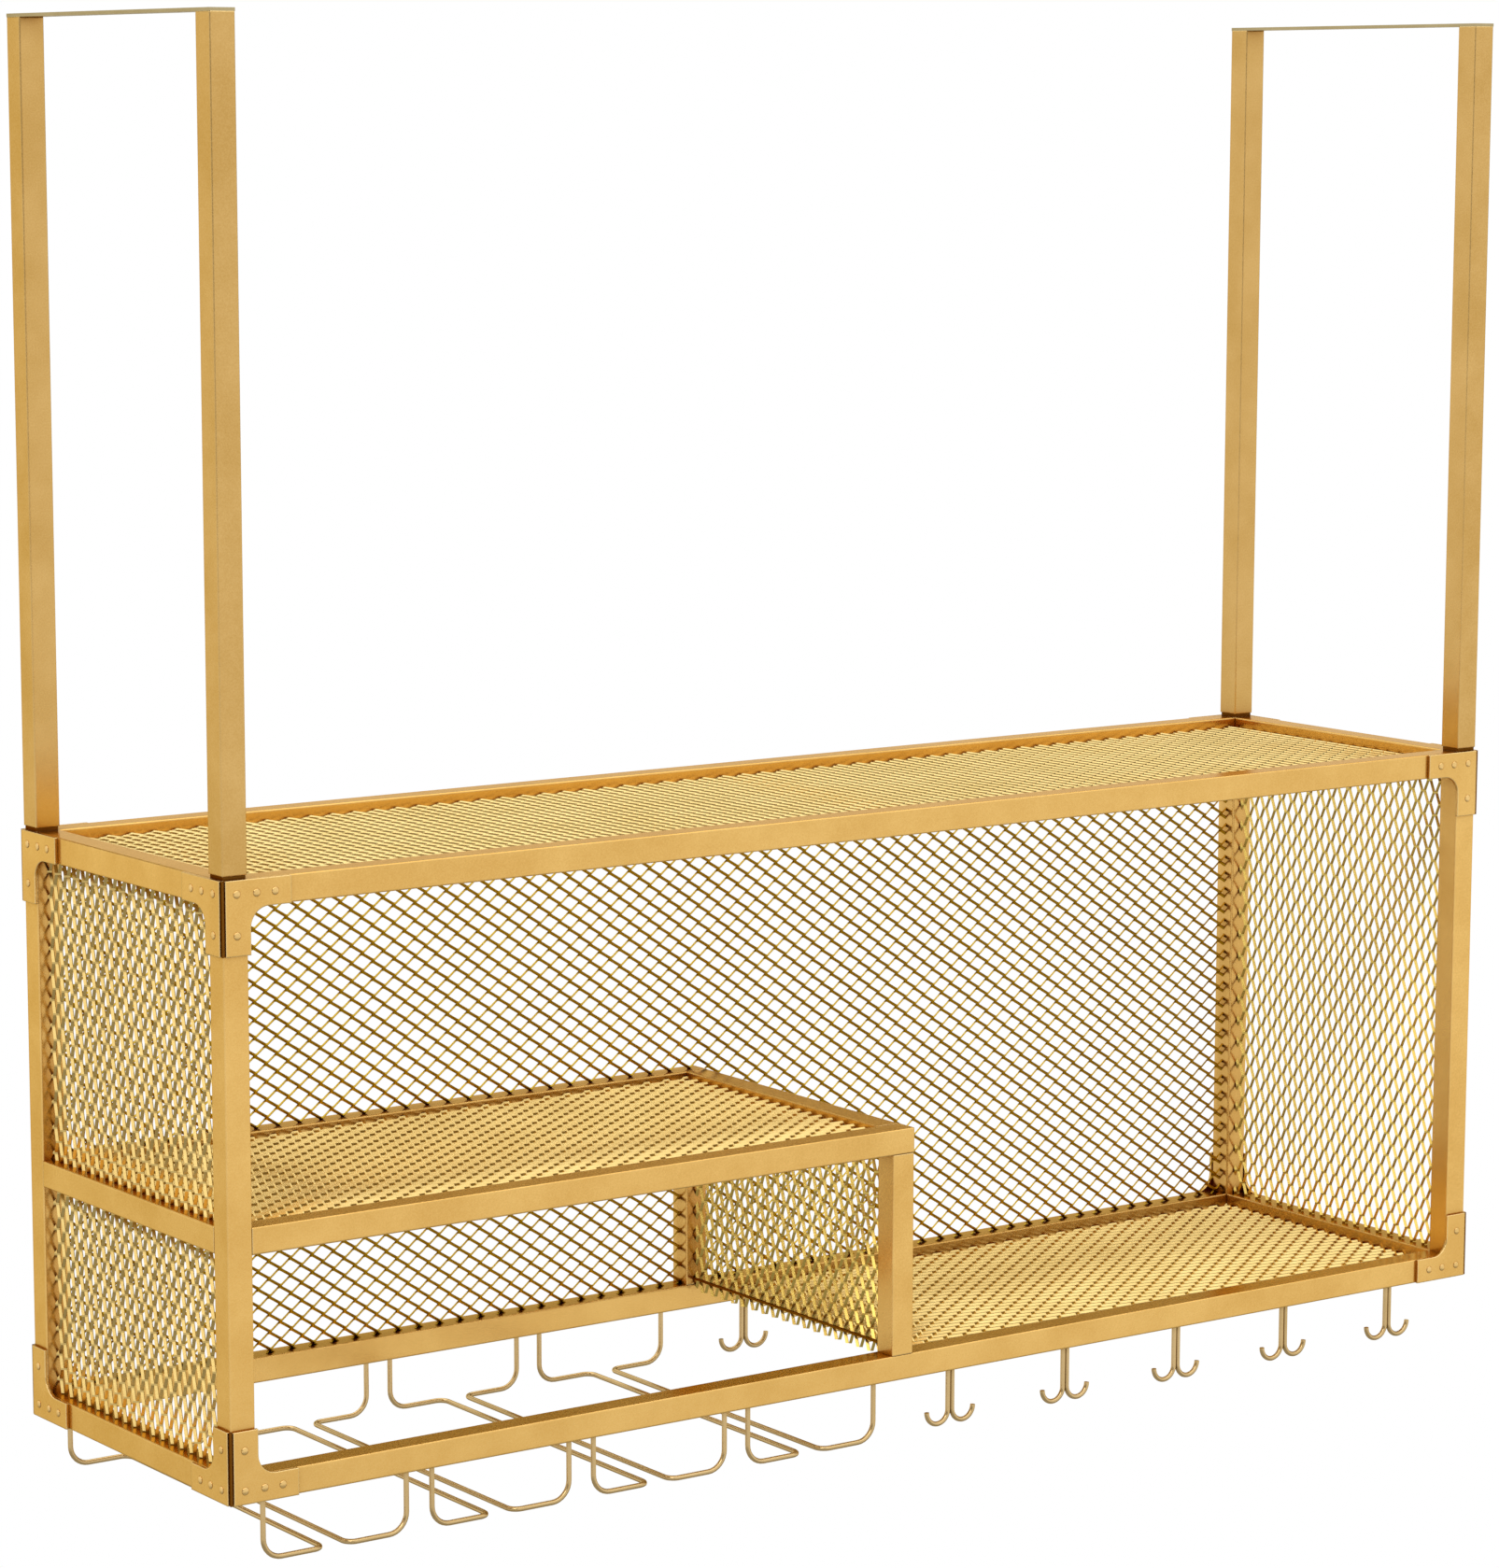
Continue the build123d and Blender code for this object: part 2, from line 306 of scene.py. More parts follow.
def bondCell(size, strandWidth):
    # One bond with the near halves of its four strands, open where the next cells go on
    lean = size["lean"]
    across = Vector((0, math.cos(lean), math.sin(lean)))
    upright = Vector((0, -math.sin(lean), math.cos(lean)))
    half = strandWidth / 2
    gauge = size["sheetGauge"] / 2
    middle = Vector((size["longPitch"] / 4, size["shortPitch"] / 4, 0))
    bondEnd = Vector((size["bondHalf"], 0, 0)) + across * half
    path = [Vector((-middle.x, middle.y, 0)), Vector((-bondEnd.x, bondEnd.y, bondEnd.z)),
            bondEnd, middle]
    cell = bmesh.new()
    for turn in (1, -1):
        # the lower strand is the upper one mirrored through the bond's centre
        rings = []
        for point in path:
            corners = [(-1, -1), (1, -1), (1, 1), (-1, 1)]
            ring = [point + across * half * a + upright * gauge * b for a, b in corners]
            rings.append([cell.verts.new(corner * turn) for corner in ring])
        for index in range(len(rings) - 1):
            first, second = rings[index], rings[index + 1]
            for side in range(4):
                # the two strands share the bond's inner side, which stays open
                inBond = index == len(rings) // 2 - 1 and side == 3
                if inBond:
                    continue
                following = (side + 1) % 4
                cell.faces.new((first[side], first[following], second[following], second[side]))
    bmesh.ops.remove_doubles(cell, verts=cell.verts, dist=size["mergeInCell"])
    bmesh.ops.recalc_face_normals(cell, faces=cell.faces)
    mesh = bpy.data.meshes.new("bondCell")
    cell.to_mesh(mesh)
    cell.free()
    holder = bpy.data.objects.new("bondCell", mesh)
    bpy.context.scene.collection.objects.link(holder)
    return holder


def netTree():
    # Two staggered grids of bonds, each bond an instance of the cell, then welded into one sheet
    tree, given, result = newTree("expandedMetal", [
        ("Cell", "NodeSocketObject", None),
        ("Long Pitch", "NodeSocketFloat", netSize["longPitch"]),
        ("Short Pitch", "NodeSocketFloat", netSize["shortPitch"]),
        ("Columns", "NodeSocketInt", 10),
        ("Rows", "NodeSocketInt", 10),
        ("Wobble", "NodeSocketFloat", netSize["wobble"]),
        ("Wobble Size", "NodeSocketFloat", netSize["wobbleSize"]),
        ("Seed", "NodeSocketFloat", netSize["seed"]),
        ("Finish", "NodeSocketMaterial", None),
    ])
    cell = addNode(tree, "GeometryNodeObjectInfo", {"Object": given.outputs["Cell"]})
    grids = []
    for shift in (0, 0.5):    # of a pitch, both ways
        spans = []
        for pitch, count in (("Long Pitch", "Columns"), ("Short Pitch", "Rows")):
            gaps = addNode(tree, "ShaderNodeMath", {0: given.outputs[count], 1: 1.0},
                           operation="SUBTRACT")
            spans.append(addNode(tree, "ShaderNodeMath",
                                 {0: gaps.outputs[0], 1: given.outputs[pitch]},
                                 operation="MULTIPLY"))
        grid = addNode(tree, "GeometryNodeMeshGrid",
                       {"Size X": spans[0].outputs[0], "Vertices X": given.outputs["Columns"],
                        "Size Y": spans[1].outputs[0], "Vertices Y": given.outputs["Rows"]})
        step = addNode(tree, "ShaderNodeCombineXYZ",
                       {"X": given.outputs["Long Pitch"], "Y": given.outputs["Short Pitch"]})
        offset = addNode(tree, "ShaderNodeVectorMath", {0: step.outputs[0]}, operation="SCALE")
        offset.inputs["Scale"].default_value = shift
        moved = addNode(tree, "GeometryNodeSetPosition",
                        {"Geometry": grid.outputs["Mesh"], "Offset": offset.outputs[0]})
        grids.append(moved.outputs[0])
    points = addNode(tree, "GeometryNodeJoinGeometry")
    for grid in grids:
        tree.links.new(grid, points.inputs[0])
    bonds = addNode(tree, "GeometryNodeInstanceOnPoints",
                    {"Points": points.outputs[0], "Instance": cell.outputs["Geometry"]})
    real = addNode(tree, "GeometryNodeRealizeInstances", {"Geometry": bonds.outputs[0]})
    welded = addNode(tree, "GeometryNodeMergeByDistance",
                     {"Geometry": real.outputs[0], "Distance": netSize["mergeCells"]})
    scale = addNode(tree, "ShaderNodeMath", {0: 1.0, 1: given.outputs["Wobble Size"]},
                    operation="DIVIDE")
    noise = addNode(tree, "ShaderNodeTexNoise",
                    {"W": given.outputs["Seed"], "Scale": scale.outputs[0], "Detail": 1.0},
                    noise_dimensions="4D")
    centred = addNode(tree, "ShaderNodeVectorMath", {0: noise.outputs["Color"], 1: (0.5, 0.5, 0.5)},
                      operation="SUBTRACT")
    amount = addNode(tree, "ShaderNodeVectorMath", {0: centred.outputs[0]}, operation="SCALE")
    tree.links.new(given.outputs["Wobble"], amount.inputs["Scale"])
    uneven = addNode(tree, "GeometryNodeSetPosition",
                     {"Geometry": welded.outputs[0], "Offset": amount.outputs[0]})
    coated = addNode(tree, "GeometryNodeSetMaterial",
                     {"Geometry": uneven.outputs[0], "Material": given.outputs["Finish"]})
    tree.links.new(coated.outputs[0], result.inputs[0])
    return tree


def cutSheet(mesh, low, high, notch=None):
    # Cuts a sheet to a box, takes an optional notch out of it and closes every cut strand
    sheet = bmesh.new()
    sheet.from_mesh(mesh)
    planes = []
    for axis in range(3):
        direction = Vector([float(axis == i) for i in range(3)])
        planes += [(low, -direction, True), (high, direction, True)]
        if notch:
            planes += [(notch[0], -direction, False), (notch[1], direction, False)]
    for point, normal, clear in planes:
        everything = list(sheet.verts) + list(sheet.edges) + list(sheet.faces)
        bmesh.ops.bisect_plane(sheet, geom=everything, dist=netSize["cutTolerance"],
                               plane_co=point, plane_no=normal, clear_outer=clear)
    if notch:
        inside = []
        for face in sheet.faces:
            centre = face.calc_center_median()
            if all(notch[0][i] < centre[i] < notch[1][i] for i in range(3)):
                inside.append(face)
        bmesh.ops.delete(sheet, geom=inside, context="FACES")
    openEdges = [edge for edge in sheet.edges if edge.is_boundary]
    bmesh.ops.holes_fill(sheet, edges=openEdges, sides=0)
    sheet.to_mesh(mesh)
    sheet.free()


# Each panel, by the node it stands for: the ways of its long and short pitch, and a point that a
# bond sits on, in mm from the low corner of the node's box. All follow the photograph.
alongX, alongY, upZ = Vector((1, 0, 0)), Vector((0, 1, 0)), Vector((0, 0, 1))
netPanels = {
    "top_shelf_net": {
        "long": -alongX, "short": alongY, "bondAt": (0, 2.8, 0),
        "strand": "shelfStrand", "finish": "topMesh"},
    "glass_shelf_net": {
        "long": alongX, "short": alongY, "bondAt": (4.5, 1.7, 0),
        "strand": "shelfStrand", "finish": "shelfMesh"},
    "floor_net": {
        "long": alongX, "short": alongY, "bondAt": (9.8, 0.3, 0),
        "strand": "shelfStrand", "finish": "shelfMesh"},
    "back_net": {
        "long": alongX, "short": upZ, "bondAt": (3.9, 0, 2.7),
        "strand": "panelStrand", "finish": "backMesh"},
    "back_net_lower_left": {
        "long": alongX, "short": upZ, "bondAt": (3.9, 0, 2.0),
        "strand": "panelStrand", "finish": "backMesh"},
    "end_net_upper_left": {
        "long": upZ, "short": alongY, "bondAt": (0, 3.9, 5.0),
        "strand": "panelStrand", "finish": "endMesh"},
    "end_net_lower_left": {
        "long": upZ, "short": alongY, "bondAt": (0, 3.3, 9.8),
        "strand": "panelStrand", "finish": "endMesh"},
    "end_net_right": {
        "long": upZ, "short": alongY, "bondAt": (0, 2.0, 1.0),
        "strand": "panelStrand", "finish": "innerMesh"},
    "partition_net": {
        "long": upZ, "short": alongY, "bondAt": (0, 0.2, 8.8),
        "strand": "panelStrand", "finish": "innerMesh"},
}


def backNotch(low, high):
    # The lower left back panel, the rear mid rail and the rear partition post stand in this box
    margin = netSize["notchMargin"]
    return (low - Vector((margin, margin, margin)),
            Vector((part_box("partition_post_rear")[1].x, high.y + margin,
                    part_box("mid_rail_rear")[1].z)))


def buildNets():
    cells = {strand: bondCell(netSize, netSize[strand])
             for strand in ("panelStrand", "shelfStrand")}
    tree = netTree()
    for nodeName, panel in netPanels.items():
        low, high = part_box(nodeName)
        span = high - low
        longWay, shortWay = panel["long"], panel["short"]
        normal = longWay.cross(shortWay)
        start = low + Vector(panel["bondAt"]) * mm
        middle = (low + high) / 2
        centre = start.copy()
        counts = {}
        # the grid grows from its middle, which is moved by whole pitches next to the sheet's
        for way, pitch, label in ((longWay, "longPitch", "Columns"),
                                  (shortWay, "shortPitch", "Rows")):
            steps = round((middle - start).dot(way) / netSize[pitch])
            centre += way * steps * netSize[pitch]
            pairs = math.ceil(abs(span.dot(way)) / netSize[pitch] / 2)
            counts[label] = 2 * pairs + netSize["spareCells"]
        centre += normal * (middle - centre).dot(normal)
        holder = bpy.data.objects.new("sheet", bpy.data.meshes.new("sheet"))
        bpy.context.scene.collection.objects.link(holder)
        values = {"Cell": cells[panel["strand"]], "Finish": finishes[panel["finish"]], **counts}
        mesh = bakedMesh(holder, tree, values, nodeName)
        toPanel = Matrix((longWay, shortWay, normal)).transposed().to_4x4()
        mesh.transform(Matrix.Translation(centre) @ toPanel)
        margin = Vector([netSize["faceMargin"] * abs(part) for part in normal])
        notch = backNotch(low, high) if nodeName == "back_net" else None
        cutSheet(mesh, low - margin, high + margin, notch)
        newPiece(nodeName + "_sheet", mesh, [nodeName])
        print("net", nodeName, len(mesh.polygons), "faces")
    for cell in cells.values():
        bpy.data.objects.remove(cell)


# Painted shade: a dark bar along the foot of the partition's sheet, and dark strips in the seams
# between the two plates of each corner. Both show as dark lines in the photograph, where they are
# shadow lines.

shadeStripSize = {
    "barSide": 1.8 * mm,
    "barUp": 9.4 * mm,         # from the sheet's lower edge
    "barOff": 0.6 * mm,        # from the sheet's box
    "seamSide": 1.5 * mm,      # a seam stands this far out of the post's two outer faces
}


def addBlock(shape, start, end):
    made = bmesh.ops.create_cube(shape, size=1.0)["verts"]
    bmesh.ops.scale(shape, vec=end - start, verts=made)
    bmesh.ops.translate(shape, vec=(start + end) / 2, verts=made)


def buildShadeStrips():
    side = shadeStripSize["barSide"]
    netLow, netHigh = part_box("partition_net")
    bar = bmesh.new()
    start = Vector((netLow.x - shadeStripSize["barOff"] - side, netLow.y, netLow.z + shadeStripSize["barUp"]))
    addBlock(bar, start, Vector((start.x + side, netHigh.y, start.z + side)))
    seams = bmesh.new()
    for level in ("top", "bottom"):
        for end in ("left", "right"):
            for face in ("front", "rear"):
                postLow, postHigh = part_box(f"cage_post_{face}_{end}")
                plateLow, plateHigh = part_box(f"corner_plates_{level}_{face}_{end}")
                low, high = plateLow.copy(), plateHigh.copy()
                for axis, outward in ((0, end == "right"), (1, face == "rear")):
                    if outward:
                        low[axis] = postHigh[axis]
                        high[axis] = postHigh[axis] + shadeStripSize["seamSide"]
                    else:
                        high[axis] = postLow[axis]
                        low[axis] = postLow[axis] - shadeStripSize["seamSide"]
                addBlock(seams, low, high)
    for name, shape in (("partition_foot_bar", bar), ("corner_seams", seams)):
        mesh = bpy.data.meshes.new(name)
        shape.to_mesh(mesh)
        shape.free()
        # painted shade: the dark brown of the spigot finish
        mesh.materials.append(finishes["spigot"])
        newPiece(name, mesh)
        print("trim", name)


buildNets()
buildShadeStrips()


# Stem guides and double hooks, bent from round wire

wireSize = {
    "diameter": 4 * mm,
    "sides": 16,
    "bendSteps": 8,
    "crispAngle": 50,           # degrees, so that only the cut ends look sharp
}
guideSize = {
    "slots": 4,
    "slotClear": 16 * mm,
    "postGap": 22 * mm,         # between the near posts of two slots
    "drop": 47 * mm,
    "corner": 15 * mm,          # bend from post to run
    "turn": 8 * mm,             # bend into the slot
    "overlap": 8 * mm,          # welded length on the rear rail
}
hookSize = {
    "count": 5,
    "insetPartition": 45 * mm,
    "insetEnd": 57 * mm,
    "drop": 44.6 * mm,
    "radius": 10.5 * mm,
    "bendSteps": 20,
}


def wireTree():
    # A wire along a curve whose point radii are its bend radii
    tree, given, result = newTree("bentWire", [
        ("Diameter", "NodeSocketFloat", wireSize["diameter"]),
        ("Sides", "NodeSocketInt", wireSize["sides"]),
        ("Bend Steps", "NodeSocketInt", wireSize["bendSteps"]),
        ("Finish", "NodeSocketMaterial", None),
    ])
    bendRadius = addNode(tree, "GeometryNodeInputRadius")
    bent = addNode(tree, "GeometryNodeFilletCurve",
                   {"Curve": given.outputs["Geometry"], "Count": given.outputs["Bend Steps"],
                    "Radius": bendRadius.outputs[0]}, mode="POLY")
    even = addNode(tree, "GeometryNodeSetCurveRadius", {"Curve": bent.outputs[0], "Radius": 1.0})
    radius = addNode(tree, "ShaderNodeMath", {0: given.outputs["Diameter"], 1: 0.5},
                     operation="MULTIPLY")
    circle = addNode(tree, "GeometryNodeCurvePrimitiveCircle",
                     {"Resolution": given.outputs["Sides"], "Radius": radius.outputs[0]},
                     mode="RADIUS")
    wire = addNode(tree, "GeometryNodeCurveToMesh",
                   {"Curve": even.outputs[0], "Profile Curve": circle.outputs["Curve"],
                    "Fill Caps": True})
    coated = addNode(tree, "GeometryNodeSetMaterial",
                     {"Geometry": wire.outputs[0], "Material": given.outputs["Finish"]})
    tree.links.new(coated.outputs[0], result.inputs[0])
    return tree


def smoothBySharpness(mesh, degrees):
    # Smooth shading, but crisp where faces meet at more than the angle
    shape = bmesh.new()
    shape.from_mesh(mesh)
    bmesh.ops.recalc_face_normals(shape, faces=shape.faces)
    for face in shape.faces:
        face.smooth = True
    for edge in shape.edges:
        edge.smooth = edge.calc_face_angle(0) < math.radians(degrees)
    shape.to_mesh(mesh)
    shape.free()


def bentWires(routes, tree, name):
    # routes is a list of wires, each a list of (point, bend radius)
    curve = bpy.data.curves.new(name, "CURVE")
    curve.dimensions = "3D"
    for route in routes:
        spline = curve.splines.new("POLY")
        spline.points.add(len(route) - 1)
        for target, (point, bend) in zip(spline.points, route):
            target.co = (*point, 1)
            target.radius = bend
    holder = bpy.data.objects.new(name, curve)
    bpy.context.scene.collection.objects.link(holder)
    mesh = bakedMesh(holder, tree, {"Finish": finishes["wire"]}, name)
    smoothBySharpness(mesh, wireSize["crispAngle"])
    return mesh


def buildGuides(tree):
    # Two wires to each slot: down from the front rail, in to the slot, back, out and up
    frontLow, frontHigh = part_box("bottom_rail_front")
    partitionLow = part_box("partition_post_front")[0]
    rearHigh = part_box("bottom_rail_rear")[1]
    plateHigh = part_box("corner_plates_bottom_rear_left")[1]
    frontY = (frontLow.y + frontHigh.y) / 2
    underRail = frontLow.z
    pitch = (partitionLow.x - frontLow.x) / guideSize["slots"]
    postOffset = (pitch - guideSize["postGap"]) / 2
    runOffset = (guideSize["slotClear"] + wireSize["diameter"]) / 2
    runZ = underRail - guideSize["drop"]
    corner, turn = guideSize["corner"], guideSize["turn"]
    for slot in range(guideSize["slots"]):
        slotX = frontLow.x + pitch * (slot + 0.5)
        for side, sign in (("left", -1), ("right", 1)):
            outerX = slotX + sign * postOffset
            innerX = slotX + sign * runOffset
            rearY = rearHigh.y + wireSize["diameter"] / 2
            if outerX - wireSize["diameter"] / 2 < plateHigh.x:
                rearY = plateHigh.y + wireSize["diameter"] / 2    # over the corner plate
            route = [
                ((outerX, frontY, underRail), 0),
                ((outerX, frontY, runZ), corner),
                ((innerX, frontY, runZ), turn),
                ((innerX, rearY, runZ), turn),
                ((outerX, rearY, runZ), corner),
                ((outerX, rearY, underRail + guideSize["overlap"]), 0),
            ]
            name = f"stem_guide_{slot + 1}_{side}"
            newPiece(name + "_wire", bentWires([route], tree, name), [name])
    print("stem guides", 2 * guideSize["slots"])


def buildHooks(tree):
    # Two J-shaped wires side by side to each hook
    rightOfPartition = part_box("partition_post_front")[1].x
    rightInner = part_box("bottom_rail_front")[1].x
    first = rightOfPartition + hookSize["insetPartition"]
    last = rightInner - hookSize["insetEnd"]
    radius, steps = hookSize["radius"], hookSize["bendSteps"]
    for face in ("front", "rear"):
        railLow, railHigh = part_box("bottom_rail_" + face)
        railY = (railLow.y + railHigh.y) / 2
        bendZ = railLow.z - hookSize["drop"] + radius
        for index in range(hookSize["count"]):
            hookX = first + (last - first) * index / (hookSize["count"] - 1)
            routes = []
            for sign in (-1, 1):
                shankX = hookX + sign * wireSize["diameter"] / 2
                route = [((shankX, railY, railLow.z), 0)]
                for step in range(steps + 1):
                    turn = math.pi * step / steps
                    reach = shankX + sign * radius * (1 - math.cos(turn))
                    route.append(((reach, railY, bendZ - radius * math.sin(turn)), 0))
                routes.append(route)
            name = f"double_hook_{face}_{index + 1}"
            newPiece(name + "_wire", bentWires(routes, tree, name), [name])
    print("double hooks", 2 * hookSize["count"])


wires = wireTree()
buildGuides(wires)
buildHooks(wires)


# Rivets of the corner plates

rivetSize = {
    "headDiameter": 6 * mm,
    "headHeight": 0.9 * mm,
    "alongRail": (10 * mm, 26 * mm, 41 * mm),    # from the cage's corner, at the rail's middle
    "downPost": 39.5 * mm,                       # from the cage's end, at the post's middle
    "rings": 4,
    "sides": 16,
}


def rivetHead():
    # A low dome, modelled once for all the rivets
    dome = bmesh.new()
    sides = rivetSize["sides"]
    rings = []
    for ring in range(rivetSize["rings"]):
        slope = math.pi / 2 * ring / rivetSize["rings"]
        radius = rivetSize["headDiameter"] / 2 * math.cos(slope)
        height = rivetSize["headHeight"] * math.sin(slope)
        turns = [2 * math.pi * side / sides for side in range(sides)]
        rings.append([dome.verts.new((radius * math.cos(turn), radius * math.sin(turn), height))
                      for turn in turns])
    top = dome.verts.new((0, 0, rivetSize["headHeight"]))
    for lower, upper in zip(rings, rings[1:]):
        for side in range(sides):
            following = (side + 1) % sides
            dome.faces.new((lower[side], lower[following], upper[following], upper[side]))
    for side in range(sides):
        dome.faces.new((rings[-1][side], rings[-1][(side + 1) % sides], top))
    dome.faces.new(rings[0][::-1])
    bmesh.ops.recalc_face_normals(dome, faces=dome.faces)
    for face in dome.faces:
        face.smooth = True
    mesh = bpy.data.meshes.new("rivetHead")
    dome.to_mesh(mesh)
    dome.free()
    holder = bpy.data.objects.new("rivetHead", mesh)
    bpy.context.scene.collection.objects.link(holder)
    return holder


def scatterTree():
    # An instance of the head at each point, turned to the point's facing
    tree, given, result = newTree("facingHeads", [
        ("Head", "NodeSocketObject", None),
        ("Finish", "NodeSocketMaterial", None),
    ])
    head = addNode(tree, "GeometryNodeObjectInfo", {"Object": given.outputs["Head"]})
    facing = addNode(tree, "GeometryNodeInputNamedAttribute", {"Name": "facing"},
                     data_type="FLOAT_VECTOR")
    turned = addNode(tree, "FunctionNodeAlignRotationToVector", {"Vector": facing.outputs[0]},
                     axis="Z")
    heads = addNode(tree, "GeometryNodeInstanceOnPoints",
                    {"Points": given.outputs["Geometry"], "Instance": head.outputs["Geometry"],
                     "Rotation": turned.outputs[0]})
    real = addNode(tree, "GeometryNodeRealizeInstances", {"Geometry": heads.outputs[0]})
    coated = addNode(tree, "GeometryNodeSetMaterial",
                     {"Geometry": real.outputs[0], "Material": given.outputs["Finish"]})
    tree.links.new(coated.outputs[0], result.inputs[0])
    return tree


def pointCloud(name, places):
    # places is a list of (point, facing)
    mesh = bpy.data.meshes.new(name)
    mesh.from_pydata([point for point, facing in places], [], [])
    facing = mesh.attributes.new("facing", "FLOAT_VECTOR", "POINT")
    for item, (point, way) in zip(facing.data, places):
        item.vector = way
    holder = bpy.data.objects.new(name, mesh)
    bpy.context.scene.collection.objects.link(holder)
    return holder


def buildRivets():
    # Four rivets to each plate: three along the rail and one down the post
    outerLow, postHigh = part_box("cage_post_front_left")
    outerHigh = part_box("cage_post_rear_right")[1]
    tubeHalf = (postHigh.x - outerLow.x) / 2
    places = []
    for level, levelZ, zWay in (("top", outerHigh.z, -1), ("bottom", outerLow.z, 1)):
        for end, cornerX, xOut in (("left", outerLow.x, -1), ("right", outerHigh.x, 1)):
            for face, cornerY, yOut in (("front", outerLow.y, -1), ("rear", outerHigh.y, 1)):
                plateLow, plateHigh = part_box(f"corner_plates_{level}_{face}_{end}")
                faceY = plateLow.y if yOut < 0 else plateHigh.y
                endX = plateLow.x if xOut < 0 else plateHigh.x
                railZ = levelZ + zWay * tubeHalf
                postZ = levelZ + zWay * rivetSize["downPost"]
                for reach in rivetSize["alongRail"]:
                    places.append(((cornerX - xOut * reach, faceY, railZ), (0, yOut, 0)))
                    places.append(((endX, cornerY - yOut * reach, railZ), (xOut, 0, 0)))
                places.append(((cornerX - xOut * tubeHalf, faceY, postZ), (0, yOut, 0)))
                places.append(((endX, cornerY - yOut * tubeHalf, postZ), (xOut, 0, 0)))
    head = rivetHead()
    mesh = bakedMesh(pointCloud("corner_rivets", places), scatterTree(),
                     {"Head": head, "Finish": finishes["rivet"]}, "corner_rivets")
    bpy.data.objects.remove(head)
    newPiece("corner_rivets", mesh)
    print("rivets", len(places))


buildRivets()


# Studio: pale floor far below, white all round, soft lamp. What is dark or dull here is seen in
# the metal only, and gives the satin coat its modelling.

studio = {
    "floorZ": -2.7,
    "floorSize": 60.0,
    "floorPaint": "#C4C4C1",
    "seenFade": (1.5, 3.5),            # metres from the rack where the floor fades to white
    "mirroredFade": (4.0, 6.0),        # and where it does in the metal
    # painted reflection: near the rack the floor glows white to glossy rays only, so the metal
    # mirrors white below it; no sheet is drawn
    "glossyWhiteNearRack": (1.0, 1.6),          # a white sheet lies under the rack
    "leftBackWay": (-0.565, 0.81, 0),  # the floor is duller on this side
    "leftBackStart": (2.0, 3.5),       # metres out, from clean to dull
    "leftBackEnd": (11.0, 15.0),       # and from dull to clean
    "leftBackLevel": 0.86,
    "ambient": 0.8,
    "flagWay": (0.565, 0.81, 0),       # a dark flag hangs behind the rack, above the picture
    "flagSpread": (0.2, 0.6),          # cosines from its middle, at its rim and at its full dark
    "flagBand": (0.22, 0.31, 0.4, 0.5),    # heights where it starts, is full, fades and ends
    "flagLevel": 0.12,
    "roomWay": (-0.76, -0.64, -0.1),   # the unlit room behind the camera
    "roomSpread": (0.6, 0.88),
    "roomLevel": 0.35,
    "sideWay": (0.94, 0.33, 0.0),      # a second flag on the right, for the strands of the mesh
    "sideSpread": (0.89, 0.96),
    "sideLevel": 0.3,
    "overheadHeight": (0.5, 0.78),     # softbox above
    "overheadLevel": 1.7,
}


def paleFloor():
    # Matt pale paint, which keeps the rack's shadow near it and fades to white further out
    material = bpy.data.materials.new("paleFloor")
    material.use_nodes = True
    tree = material.node_tree
    tree.nodes.clear()
    rays = addNode(tree, "ShaderNodeLightPath")
    place = addNode(tree, "ShaderNodeTexCoord")
    distance = addNode(tree, "ShaderNodeVectorMath", {0: place.outputs["Object"]},
                       operation="LENGTH")
    share = None
    # white to the camera far out, to glossy rays far out, and to glossy rays right under the rack
    # as a painted reflection
    for ray, (start, end) in (("Is Camera Ray", studio["seenFade"]),
                              ("Is Glossy Ray", studio["mirroredFade"]),
                              ("Is Glossy Ray", studio["glossyWhiteNearRack"][::-1])):
        white = addNode(tree, "ShaderNodeMapRange",
                        {"Value": distance.outputs["Value"], "From Min": start, "From Max": end})
        added = addNode(tree, "ShaderNodeMath", {0: rays.outputs[ray], 1: white.outputs[0]},
                        operation="MULTIPLY")
        if share:
            added = addNode(tree, "ShaderNodeMath", {0: share.outputs[0], 1: added.outputs[0]},
                            operation="MAXIMUM")
        share = added
    toward = addNode(tree, "ShaderNodeVectorMath",
                     {0: place.outputs["Object"], 1: studio["leftBackWay"]},
                     operation="DOT_PRODUCT")
    side = addNode(tree, "ShaderNodeMapRange",
                   {"Value": toward.outputs["Value"], "From Min": studio["leftBackStart"][0],
                    "From Max": studio["leftBackStart"][1]})
    within = addNode(tree, "ShaderNodeMapRange",
                     {"Value": distance.outputs["Value"], "From Min": studio["leftBackEnd"][1],
                      "From Max": studio["leftBackEnd"][0]})
    dull = addNode(tree, "ShaderNodeMath", {0: side.outputs[0], 1: within.outputs[0]},
                   operation="MULTIPLY")
    dull = addNode(tree, "ShaderNodeMath", {0: dull.outputs[0], 1: rays.outputs["Is Glossy Ray"]},
                   operation="MULTIPLY")
    level = addNode(tree, "ShaderNodeMapRange",
                    {"Value": dull.outputs[0], "To Min": 1.0, "To Max": studio["leftBackLevel"]})
    paint = addNode(tree, "ShaderNodeBsdfDiffuse", {"Color": linearColour(studio["floorPaint"])})
    glow = addNode(tree, "ShaderNodeEmission",
                   {"Color": (1, 1, 1, 1), "Strength": level.outputs[0]})
    mixed = addNode(tree, "ShaderNodeMixShader",
                    {0: share.outputs[0], 1: paint.outputs[0], 2: glow.outputs[0]})
    addNode(tree, "ShaderNodeOutputMaterial", {"Surface": mixed.outputs[0]})
    return material


def buildFloor():
    mesh = bpy.data.meshes.new("floor")
    half, z = studio["floorSize"] / 2, studio["floorZ"]
    corners = [(-half, -half, z), (half, -half, z), (half, half, z), (-half, half, z)]
    mesh.from_pydata(corners, [], [(0, 1, 2, 3)])
    mesh.materials.append(paleFloor())
    floor = bpy.data.objects.new("floor", mesh)
    bpy.context.scene.collection.objects.link(floor)


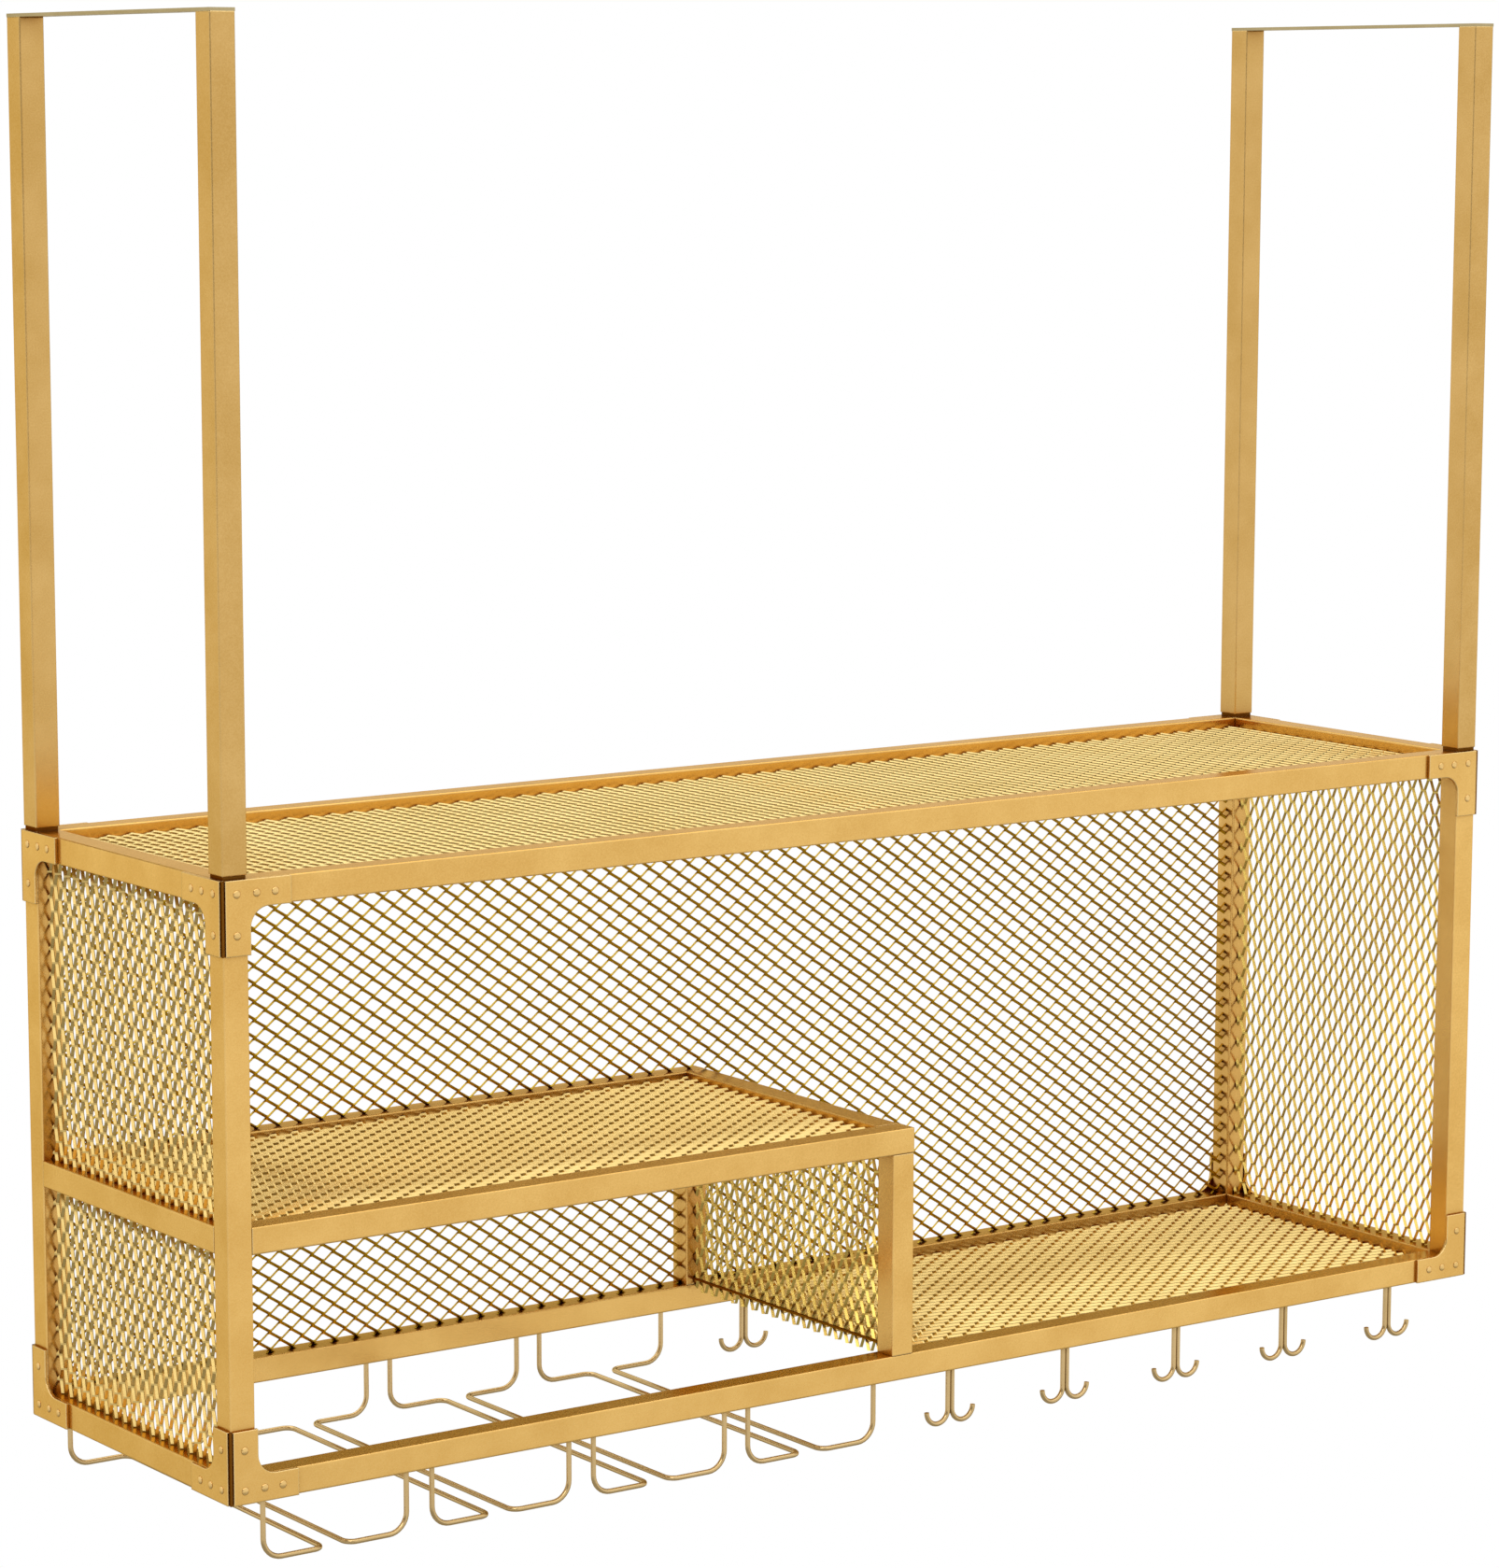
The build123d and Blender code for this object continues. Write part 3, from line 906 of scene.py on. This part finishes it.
def buildWorld():
    # White to the camera, plain to diffuse rays, and with flags, room and softbox to glossy ones
    world = bpy.data.worlds.new("studio")
    bpy.context.scene.world = world
    world.use_nodes = True
    tree = world.node_tree
    tree.nodes.clear()
    rays = addNode(tree, "ShaderNodeLightPath")
    way = addNode(tree, "ShaderNodeTexCoord")
    split = addNode(tree, "ShaderNodeSeparateXYZ", {0: way.outputs["Generated"]})
    band = addNode(tree, "ShaderNodeValToRGB", {"Fac": split.outputs["Z"]})
    stops = list(zip((0.0, *studio["flagBand"], 1.0), (0, 0, 1, 1, 0, 0)))
    ramp = band.color_ramp
    while len(ramp.elements) < len(stops):
        ramp.elements.new(0.5)
    for element, (position, value) in zip(ramp.elements, stops):
        element.position = position
        element.color = (value, value, value, 1)
    sky = None
    for area in ("flag", "room", "side", "overhead"):
        if area == "overhead":
            start, end = studio["overheadHeight"]
            value = split.outputs["Z"]
        else:
            toward = addNode(tree, "ShaderNodeVectorMath",
                             {0: way.outputs["Generated"], 1: studio[area + "Way"]},
                             operation="DOT_PRODUCT")
            start, end = studio[area + "Spread"]
            value = toward.outputs["Value"]
        share = addNode(tree, "ShaderNodeMapRange",
                        {"Value": value, "From Min": start, "From Max": end})
        if area == "flag":
            share = addNode(tree, "ShaderNodeMath", {0: share.outputs[0], 1: band.outputs["Color"]},
                            operation="MULTIPLY")
        level = addNode(tree, "ShaderNodeMapRange",
                        {"Value": share.outputs[0], "To Min": 1.0,
                         "To Max": studio[area + "Level"]})
        if sky:
            level = addNode(tree, "ShaderNodeMath", {0: sky.outputs[0], 1: level.outputs[0]},
                            operation="MULTIPLY")
        sky = level
    plain = addNode(tree, "ShaderNodeBackground",
                    {"Color": (1, 1, 1, 1), "Strength": studio["ambient"]})
    seenWhite = addNode(tree, "ShaderNodeBackground", {"Color": (1, 1, 1, 1), "Strength": 1.0})
    mirrored = addNode(tree, "ShaderNodeBackground",
                       {"Color": (1, 1, 1, 1), "Strength": sky.outputs[0]})
    first = addNode(tree, "ShaderNodeMixShader",
                    {0: rays.outputs["Is Glossy Ray"], 1: plain.outputs[0], 2: mirrored.outputs[0]})
    second = addNode(tree, "ShaderNodeMixShader",
                     {0: rays.outputs["Is Camera Ray"], 1: first.outputs[0],
                      2: seenWhite.outputs[0]})
    addNode(tree, "ShaderNodeOutputWorld", {"Surface": second.outputs[0]})


keyLamp = {
    "place": (-2.6, -2.4, 1.6),    # to the left of the camera, above the rack
    "target": (0, 0, -0.8),
    "size": (1.6, 1.6),
    "power": 22,
}


def buildLamp(name, setup):
    lamp = bpy.data.lights.new(name, "AREA")
    lamp.shape = "RECTANGLE"
    lamp.size, lamp.size_y = setup["size"]
    lamp.energy = setup["power"]
    holder = bpy.data.objects.new(name, lamp)
    holder.location = setup["place"]
    away = Vector(setup["target"]) - Vector(setup["place"])
    holder.rotation_euler = away.to_track_quat("-Z", "Y").to_euler()
    bpy.context.scene.collection.objects.link(holder)


buildFloor()
buildWorld()
buildLamp("keyLamp", keyLamp)
print("studio done")


# Camera, worked out from the edges of the frame in the photograph

photoCamera = {
    "place": (-2.2297, -3.0476, -0.0645),
    "yaw": 34.939,          # degrees from +Y towards +X
    "pitch": 8.801,         # degrees down
    "focal": 5153.7,        # in pixels of the 1605 x 1679 photograph
    "centre": (735.49, 908.48),
    "width": 1605,
    "height": 1679,
    "sensor": 36.0,         # mm, on the longer side
    "clipEnd": 200.0,
}


def buildCamera():
    shot = photoCamera
    camera = bpy.data.cameras.new("camera")
    camera.sensor_fit = "AUTO"
    camera.sensor_width = shot["sensor"]
    camera.lens = shot["focal"] / shot["height"] * shot["sensor"]
    camera.shift_x = (shot["width"] / 2 - shot["centre"][0]) / shot["height"]
    camera.shift_y = (shot["centre"][1] - shot["height"] / 2) / shot["height"]
    camera.clip_end = shot["clipEnd"]
    holder = bpy.data.objects.new("camera", camera)
    holder.location = shot["place"]
    holder.rotation_euler = (math.radians(90 - shot["pitch"]), 0, -math.radians(shot["yaw"]))
    bpy.context.scene.collection.objects.link(holder)
    bpy.context.scene.camera = holder


buildCamera()
bpy.context.scene.view_settings.view_transform = "Standard"
